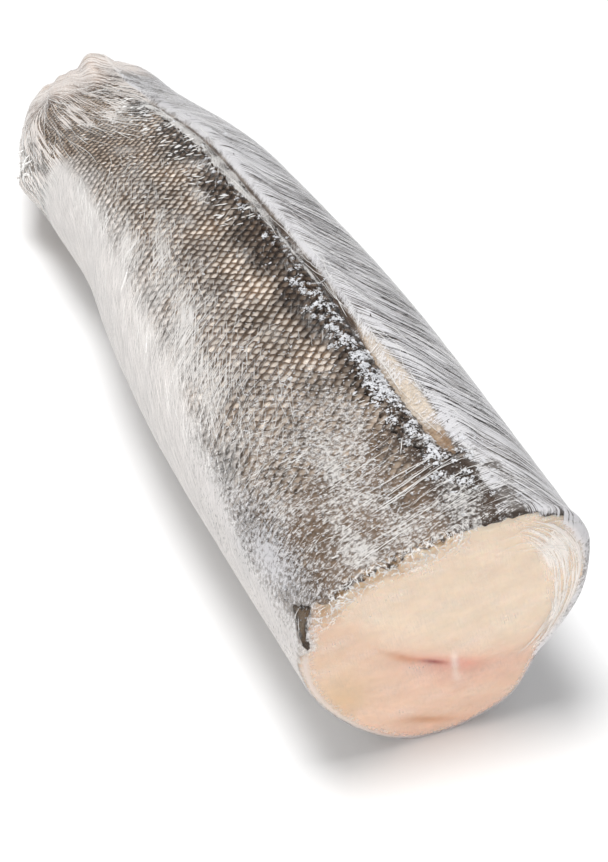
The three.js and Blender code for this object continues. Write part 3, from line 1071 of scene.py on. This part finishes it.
def film_cover(reach, turn):
    """The haze over the film: how far it covers, how streaks and mottle break it, and how white it is."""
    zone = film_zones(reach, turn)
    cloud = side_noise(reach, turn, (13, 8), 56)
    drift = left_noise(reach, turn, (26, 7), 59)
    tatter = side_noise(reach, turn, (7, 5), 60)
    smear = smooth_noise(trunk_point(reach, turn + BACK_ANGLE), (8, 8, 4), 62)
    fanned = smooth_noise(fan_place(reach, turn), (30, 2.6), 61)
    right = 0.76 + 0.06 * cloud + 0.32 * ramp(reach, 180, 240)
    right = right + 0.30 * zone.near - 0.10 * zone.calm - 0.40 * zone.right_flank
    layers = [
        0.08 + 0.14 * np.maximum(cloud, 0),
        (0.45 + 0.09 * cloud - 0.52 * zone.dorsal) * zone.near,
        0.10 + (0.34 + 0.18 * drift) * zone.fringe,
        (0.90 + 0.06 * drift + 0.08 * ramp(reach, 190, 250)) * zone.belly,
        0.95 * zone.under,
        0.92 * zone.low_right,
        right * zone.right,
        (0.62 + 0.08 * cloud) * zone.rime,
    ]
    far_cover = 0.69 + 0.06 * zone.belly + 0.06 * fade(turn, 16, 34) + 0.30 * fanned
    cover = moved(np.max(layers, axis=0), far_cover, zone.far)
    cover = cover - 0.12 * zone.clear - 0.75 * zone.gaps * zone.far - 0.16 * zone.smudge
    cover = moved(cover * (1 - 0.6 * zone.bare), 0.90 + 0.08 * tatter, zone.tip)
    cover = np.maximum(cover, (0.66 + 0.16 * tatter) * zone.bands)
    cover = moved(cover, 0.30 + 0.20 * ramp(reach, 58, 85) + 0.10 * tatter, zone.wound)
    cover = moved(cover * (1 - 0.85 * zone.edge), 0.14, zone.rim)
    # A thin white band along the lower rim: the film's edge with a painted highlight.
    cover = np.maximum(cover, 0.6 * zone.hem_highlight)
    cover = moved(cover, 0.25 + 0.06 * smear + 0.4 * zone.hem_highlight, zone.face)
    streak = weighed(zone, 1.0, STREAK_BY_ZONE) - 2.2 * zone.belly * (1 - zone.far)
    streak = moved(np.maximum(streak * (1 - 0.7 * zone.lip), 0.2), 0.15, zone.face)
    mottle = moved(weighed(zone, 0.6, MOTTLE_BY_ZONE), 0.8, zone.rim)
    folded = zone.folds * zone.face
    smooth = (1 - zone.seam) * (1 - zone.hem_highlight)
    white = weighed(zone, 0.80, WHITE_BY_ZONE) + 0.16 * np.maximum(zone.rim, folded)
    return {
        "cover": moved(cover, 0.26 + 0.46 * fold_ridges(reach, turn), folded),
        "streak": moved(streak, -1.5, folded) * smooth,
        "mottle": moved(mottle, 0.2, zone.face) * (1 - zone.hem_highlight),
        # Winding white lines at the upper rim, in the tail's gathers and on the folds: crumpled film, partly
        # painted glints.
        "crinkle": np.clip(1.1 * zone.rim + 0.3 * zone.far * (1 - zone.tip) + 0.3 * folded, 0, 1.1),
        "shade": (0.4 + 0.9 * zone.belly - 0.3 * zone.calm) * smooth * (1 - zone.face),
        "white": np.clip(white, 0, 0.96),
    }


def film_veil(reach, turn):
    """The colour of the film's haze: warm on the belly, cool on the right and in rime, cream on the cut."""
    zone = film_zones(reach, turn)
    cool = np.maximum(zone.right, zone.rime)
    shares = [zone.belly, zone.far, cool, zone.tip, zone.face]
    return tinted(PLAIN_VEIL, zip([WARM_VEIL, FAR_VEIL, COOL_VEIL, TIP_VEIL, CREAM_VEIL], shares))


def film_lie(reach, turn):
    """Shares of three kinds of streak: crossed on the left, along the scored lines, round the near end."""
    right = ramp(-turn, 2, 5)
    ring = fade(reach, 40, 75) * between(turn, -14, -4, 80, 95)
    ring = moved(ring, 1, fade(reach, -2, 1))
    right = right * (1 - ring)
    folded = film_zones(reach, turn).folds * fade(reach, -2, 1)
    fanned = ramp(turn, -1, 2) * ramp(reach + 22 * ramp(turn, 58, 70), 282, 298)
    drawn = np.maximum(folded, fanned)
    right, ring = moved(right, 1, drawn), moved(ring, 0, drawn)
    return np.stack([1 - right - ring, right, ring], -1)


def film_wrap(reach, turn):
    """Flat places for the film's grain: along and round on the side, across and up on the cut face."""
    face = trunk_point(reach, turn + BACK_ANGLE)
    sway = 0.7 * side_noise(reach, turn, (26, 20), 54)
    side = np.stack([reach, round_back(turn) + sway, 0 * turn], -1)
    return np.where((reach < 0)[..., None], face[..., [0, 2, 1]] * [1, 1, 0], side)


def film_score(reach, turn):
    """Places along and across scored lines: slanting on the right, fanned at the tail, folded on the cut."""
    down = np.maximum(-round_back(turn), 0)
    curved = np.minimum(down, SCORE_LIMIT)
    heading = np.radians(SCORE_HEADING + SCORE_STEEPEN * curved)
    start, bend = math.radians(SCORE_HEADING), math.radians(SCORE_STEEPEN)
    drop = np.log(np.sin(heading) / math.sin(start)) / bend + (down - curved) / np.tan(heading)
    length = np.log(np.tan(heading / 2) / math.tan(start / 2)) / bend + (down - curved) / np.sin(heading)
    sway = 0.6 * side_noise(reach, turn, (22, 14), 50)
    lines = np.stack([length, 0.75 * (reach + drop) + sway, 0 * drop], -1)
    fans = np.concatenate([fan_place(reach, turn), 0 * lines[..., :1]], -1)
    lines = np.where(((reach > 250) & (turn > -1))[..., None], fans, lines)
    folds = np.stack([round_back(turn), 11 * reach / fold_depth(turn), 0 * drop], -1)
    return np.where((reach < 0)[..., None], folds, lines)


def film_relief(reach, turn):
    """Creases that stand up from the film, in millimetres."""
    left = bell(left_noise(reach, turn, (40, 5), 51), 0.5)
    right = bell(smooth_noise(film_score(reach, turn)[..., :2], (24, 3), 52), 0.5)
    lie = film_lie(reach, turn)
    zone = film_zones(reach, turn)
    right = right * (1 - 0.7 * zone.calm)
    relief = CREASE_HEIGHT * (lie[..., 0] * left + lie[..., 1] * right) * (1 - zone.face)
    crinkle = side_noise(reach, turn, (1.5, 2.0), 55)
    gather = side_noise(reach, turn, (16, 2.6), 57)
    relief = relief + CRINKLE_HEIGHT * zone.rim * bell(crinkle, 0.6)
    relief = relief + GATHER_HEIGHT * zone.far * (1 - 0.7 * zone.tip) * bell(gather, 0.5)
    return relief + FOLD_HEIGHT * zone.folds * fold_ridges(reach, turn)


def headed_noise(tree, wrap, heading, length, width, detail):
    """A shader noise drawn out along a heading."""
    inputs = {"Vector": wrap, "Rotation": (0, 0, math.radians(heading)), "Scale": (length, width, 1)}
    turned = add_node(tree, "ShaderNodeMapping", inputs, vector_type="TEXTURE").outputs[0]
    return noise_value(tree, turned, 1.0, detail, "2D")


def near_middle(tree, noise, core, rim, on_line, elsewhere):
    """One value on thin winding lines, where the noise is close to its middle, and another elsewhere."""
    away = calculate(tree, "ABSOLUTE", calculate(tree, "ADD", noise, -0.5))
    return eased(tree, away, core, rim, on_line, elsewhere)


def scored_noise(tree):
    """Noise along the scored lines: light, with long dark lines broken here and there."""
    score = read_attribute(tree, "score", "Vector")
    dark = near_middle(tree, headed_noise(tree, score, 0, 38.0, 1.0, 1.5), 0.022, 0.062, -0.9, 0.0)
    breaks = headed_noise(tree, score, 0, 22.0, 2.6, 2.0)
    dark = calculate(tree, "MULTIPLY", dark, eased(tree, breaks, 0.32, 0.46))
    fine = headed_noise(tree, score, 0, 24.0, 0.4, 3.0)
    return calculate(tree, "ADD", calculate(tree, "MULTIPLY_ADD", fine, 1.3, -0.15), dark)


def crossed_noise(tree, wrap):
    """Noise for the left side: fine streaks that cross at two headings."""
    first = headed_noise(tree, wrap, LEFT_HEADING, 12.0, 0.42, 2.5)
    second = headed_noise(tree, wrap, CROSS_HEADING, 8.0, 0.38, 2.5)
    return calculate(tree, "ADD", calculate(tree, "MAXIMUM", first, second), -0.06)


def scaled_by(tree, noise, name):
    """Noise about its middle, made stronger or weaker by an attribute."""
    return calculate(tree, "MULTIPLY", calculate(tree, "ADD", noise, -0.5), read_attribute(tree, name, "Fac"))


def film_haze(tree):
    """How white the film is, the streaks that shade it, and its fine mottle."""
    wrap = read_attribute(tree, "wrap", "Vector")
    ring = headed_noise(tree, wrap, RING_HEADING, 4.0, 0.42, 3.0)
    inputs = {0: crossed_noise(tree, wrap), 1: scored_noise(tree), 2: ring}
    streaks = add_node(tree, "ShaderNodeCombineXYZ", inputs).outputs[0]
    inputs = {0: streaks, 1: read_attribute(tree, "lie", "Vector")}
    field = add_node(tree, "ShaderNodeVectorMath", inputs, operation="DOT_PRODUCT").outputs["Value"]
    mottle = noise_value(tree, object_metres(tree), 800.0, 5.0, roughness=0.7)
    winding = near_middle(tree, noise_value(tree, object_metres(tree), 340.0, 2.0), 0.0, 0.05, 1.0, 0.0)
    winding = calculate(tree, "MULTIPLY", winding, eased(tree, mottle, 0.36, 0.52))
    crinkle = calculate(tree, "MULTIPLY", winding, read_attribute(tree, "crinkle", "Fac"))
    cover = calculate(tree, "ADD", read_attribute(tree, "cover", "Fac"), scaled_by(tree, field, "streak"))
    cover = calculate(tree, "ADD", cover, scaled_by(tree, mottle, "mottle"))
    cover = calculate(tree, "ADD", cover, crinkle)
    cover = calculate(tree, "MULTIPLY_ADD", flap_share(tree), -2.0, cover)
    haze = calculate(tree, "MULTIPLY", eased(tree, cover, 0.15, 0.85), read_attribute(tree, "white", "Fac"))
    return haze, calculate(tree, "ADD", scaled_by(tree, field, "shade"), 1.0), mottle


def film_material():
    material, tree = new_material("clear_film")
    haze, shade, mottle = film_haze(tree)
    normal = bumped(tree, mottle, 0.0003, 0.6)
    gloss = add_node(tree, "ShaderNodeBsdfGlossy", {"Roughness": 0.12, "Normal": normal})
    clear = add_node(tree, "ShaderNodeBsdfTransparent")
    fresnel = add_node(tree, "ShaderNodeFresnel", {"IOR": 1.36, "Normal": normal}).outputs[0]
    sheet = add_node(tree, "ShaderNodeMixShader", {0: fresnel, 1: clear.outputs[0], 2: gloss.outputs[0]})
    inputs = {"Color": read_attribute(tree, "veil", "Color"), "Value": shade}
    veil = add_node(tree, "ShaderNodeHueSaturation", inputs).outputs[0]
    front = principled(tree, {"Base Color": veil, "Roughness": 0.35, "Normal": normal})
    through = add_node(tree, "ShaderNodeBsdfTranslucent", {"Color": veil})
    white = add_node(tree, "ShaderNodeMixShader", {0: 0.25, 1: front, 2: through.outputs[0]})
    layered = add_node(tree, "ShaderNodeMixShader", {0: haze, 1: sheet.outputs[0], 2: white.outputs[0]})
    show(tree, layered.outputs[0])
    return material


def make_film():
    rings = steps_through(FILM_STOPS, FILM_STEPS)
    reach, turn = np.meshgrid(rings, spread_turns(FILM_AROUND), indexing="ij")
    grid = trunk_point(reach, turn + BACK_ANGLE, film_relief(reach, turn))
    ends = np.array([-FACE_REACH, TRUNK_LENGTH + END_REACH], float)
    points = np.concatenate([grid.reshape(-1, 3), trunk_point(ends, np.zeros(2))])
    piece = mesh_object("clear_film", points, tube_faces(*reach.shape), film_material())
    all_reach = np.concatenate([reach.ravel(), ends])
    all_turn = np.concatenate([turn.ravel(), np.zeros(2)])
    vectors = {"wrap": film_wrap, "score": film_score, "lie": film_lie, "flap": flap_inside}
    for name, vectors_at in vectors.items():
        set_vectors(piece, name, vectors_at(all_reach, all_turn))
    set_colours(piece, "veil", film_veil(all_reach, all_turn))
    for name, values in film_cover(all_reach, all_turn).items():
        set_numbers(piece, name, values)
    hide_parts(NODE)


# Creases: thin white ridges where the film is pulled, doubled or crumpled, white partly from the film itself
# and partly as painted highlights on its wrinkles; some zones are short white dashes that are painted glints.
# Each zone: count, first and last reach, first and last turn, heading (none where the creases fan out from
# the tail's left corner) and its spread, bend along the crease, shortest and longest length, half width, and
# how far the middle may stand off.
CREASE_AND_GLINT_ZONES = [
    (24, 4, 46, 6, 50, 101, 3, 5, 14, 34, 0.10, 0),
    (30, 3, 30, -18, 12, 104, 8, 8, 5, 16, 0.08, 0),
    (120, 4, 75, 12, 92, 105, 18, 6, 2, 9, 0.06, 0),
    (420, 6, 92, 14, 88, 72, 14, 8, 0.7, 2.0, 0.10, 0),
    (330, 65, 244, 44, 92, -22, 10, 5, 4, 18, 0.055, 0),
    (260, 75, 238, 38, 84, -52, 14, 5, 3, 12, 0.055, 0),
    (90, 90, 235, 12, 55, -40, 25, 5, 2, 8, 0.05, 0),
    (50, 8, 300, -14, -3, 17, 6, 7, 6, 22, 0.06, 0),
    (90, 8, 300, -40, -14, 44, 9, 7, 8, 26, 0.06, 0),
    (40, 40, 150, -7, 1, 3, 6, 5, 6, 24, 0.08, 0),
    # Short white dashes along the scale rows on the back and the flank: painted glints.
    (110, 172, 300, 7, 24, 68, 14, 8, 1.4, 3.8, 0.24, 0),
    (70, 200, 308, 20, 62, 68, 16, 8, 1.0, 2.8, 0.17, 0),
    (36, 160, 300, -4, 8, 0, 6, 5, 6, 26, 0.08, 0),
    (190, 262, 330, 2, 118, None, 5, 5, 8, 36, 0.09, 0),
    # Short strokes along the upper rim: crumpled film with painted glints.
    (150, -2.6, 2.8, 12, 88, 92, 38, 12, 1.0, 3.6, 0.08, 0.2),
    (3, 5, 9, 90, 96, 100, 12, 5, 4, 7, 0.08, 0),
    (60, -9, -0.4, -88, -10, 90, 9, 10, 5, 24, 0.08, 0.1),
    (10, 288, 308, 96, 122, 60, 60, 50, 4, 10, 0.45, 1.2),
]
CREASE_POINTS = 14
CREASE_OUT, CREASE_WOBBLE = 0.02, 0.04


def crease_and_glint_paths(rng):
    """Paths of all the creases and glint dashes, one row for each, with their half widths and heights off the
    film.
    """
    rows = []
    t = np.linspace(-0.5, 0.5, CREASE_POINTS)[None, :]
    taper = np.cos(math.pi * 0.96 * t) ** 0.7
    for count, first, last, low, high, heading, spread, bend, short, long, half, stand in CREASE_AND_GLINT_ZONES:
        each = (count, 1)
        length = rng.uniform(short, long, each)
        middle, towards = rng.uniform(first, last, each), rng.uniform(low, high, each)
        if heading is None:
            heading = np.degrees(np.arctan2(round_back(towards - FAN_TURN), middle - FAN_REACH))
        way = np.radians(heading + rng.normal(0, spread, each) + 2 * rng.normal(0, bend, each) * t)
        wobble = rng.normal(0, CREASE_WOBBLE, (count, CREASE_POINTS))
        step = length / (CREASE_POINTS - 1)
        along = np.cumsum(np.cos(way) * step, 1)
        around = np.cumsum(np.sin(way) * step, 1)
        along, around = along - along.mean(1, keepdims=True), around - around.mean(1, keepdims=True)
        reach = middle + along - wobble * np.sin(way)
        turn = towards + np.degrees((around + wobble * np.cos(way)) / MEAN_RADIUS)
        half_width = half * np.exp(rng.normal(0, 0.3, each)) * taper
        rows.append([reach, turn, half_width, stand * rng.uniform(0, 1, each) * taper])
    return [np.concatenate(column) for column in zip(*rows)]


def crease_and_glint_material():
    material, tree = new_material("film_creases_and_glints")
    inputs = {"Base Color": (*srgb(250, 249, 247), 1), "Roughness": 0.2, "Alpha": 0.6}
    show(tree, principled(tree, inputs))
    return material


def make_creases_and_glints():
    rng = np.random.default_rng(SEED + 61)
    reach, turn, half_width, off = crease_and_glint_paths(rng)
    reach = np.clip(reach, -FACE_REACH + 4, TRUNK_LENGTH - 1)
    out = CREASE_OUT + film_relief(reach, turn) + off
    centre, _, _, outward = local_frames(reach, turn, out)
    way = np.gradient(centre, axis=1)
    way /= np.linalg.norm(way, axis=-1, keepdims=True)
    across = np.cross(outward, way) * half_width[..., None]
    ridge = np.stack([centre - across, centre + outward * half_width[..., None], centre + across], 2)
    ridge[..., 2] = np.maximum(ridge[..., 2], 0)
    count = len(reach)
    base = np.arange(count)[:, None, None] * CREASE_POINTS * 3
    i = np.arange(CREASE_POINTS - 1)[None, :, None] * 3
    k = np.arange(3)[None, None, :]
    here, there = base + i + k, base + i + (k + 1) % 3
    faces = np.stack([here, here + 3, there + 3, there], -1).reshape(-1, 4).tolist()
    start = np.arange(count) * CREASE_POINTS * 3
    finish = start + (CREASE_POINTS - 1) * 3
    faces += np.stack([start, start + 1, start + 2], -1).tolist()
    faces += np.stack([finish + 2, finish + 1, finish], -1).tolist()
    points = ridge.reshape(-1, 3)
    mesh_object("film_creases_and_glints", points, faces, crease_and_glint_material(), smooth=False)


# The stage: a white floor, a white room, a soft light above and two low ones that barely touch the floor.
FLOOR_SIZE, FLOOR_GAP = 8.0, 0.0002
FLOOR_WHITE = 0.93
WORLD_STRENGTH = 0.35
# Lights: name, place, size and power.
LIGHTS = [
    ("top", (-0.14, 0.06, 1.35), 0.6, 17),
    ("front", (-0.45, -1.90, 0.42), 0.8, 13.0),
    ("left", (-1.90, -0.30, 0.45), 0.8, 3.2),
]


def make_floor():
    material, tree = new_material("white_floor")
    show(tree, principled(tree, {"Base Color": (*[FLOOR_WHITE] * 3, 1), "Roughness": 0.7}))
    half = FLOOR_SIZE / 2
    mesh = bpy.data.meshes.new("floor")
    corners = [(-half, -half, 0), (half, -half, 0), (half, half, 0), (-half, half, 0)]
    mesh.from_pydata(corners, [], [(0, 1, 2, 3)])
    mesh.materials.append(material)
    floor = bpy.data.objects.new("floor", mesh)
    floor.location.z = CAD_LOW.z - FLOOR_GAP
    bpy.context.scene.collection.objects.link(floor)


def make_lights():
    world = bpy.data.worlds.new("white_room")
    bpy.context.scene.world = world
    world.use_nodes = True
    background = world.node_tree.nodes["Background"]
    background.inputs["Color"].default_value = (1, 1, 1, 1)
    background.inputs["Strength"].default_value = WORLD_STRENGTH
    for name, place, size, power in LIGHTS:
        light = bpy.data.lights.new(name, "AREA")
        light.size = size
        light.energy = power
        lamp = bpy.data.objects.new(name, light)
        lamp.location = place
        lamp.rotation_euler = Vector(place).to_track_quat("Z", "Y").to_euler()
        bpy.context.scene.collection.objects.link(lamp)


def make_camera():
    look = Vector(CAMERA_LOOK).normalized()
    right = look.cross(Vector((0, 0, 1))).normalized()
    up = right.cross(look)
    data = bpy.data.cameras.new("camera")
    data.sensor_width = SENSOR_MM
    data.lens = FOCAL_PIXELS / LONG_SIDE_PIXELS * SENSOR_MM
    data.clip_start = CLIP_START
    camera = bpy.data.objects.new("camera", data)
    turned = Matrix((right, up, -look)).transposed().to_4x4()
    place = (np.array(CAMERA_AT) + OFFSET) * METRES
    camera.matrix_world = Matrix.Translation(Vector(place)) @ turned
    bpy.context.scene.collection.objects.link(camera)
    bpy.context.scene.camera = camera
    bpy.context.scene.view_settings.view_transform = "Standard"


make_camera()
make_lights()
make_floor()
make_flesh()
make_skin()
make_scales()
make_frost()
make_film()
make_creases_and_glints()
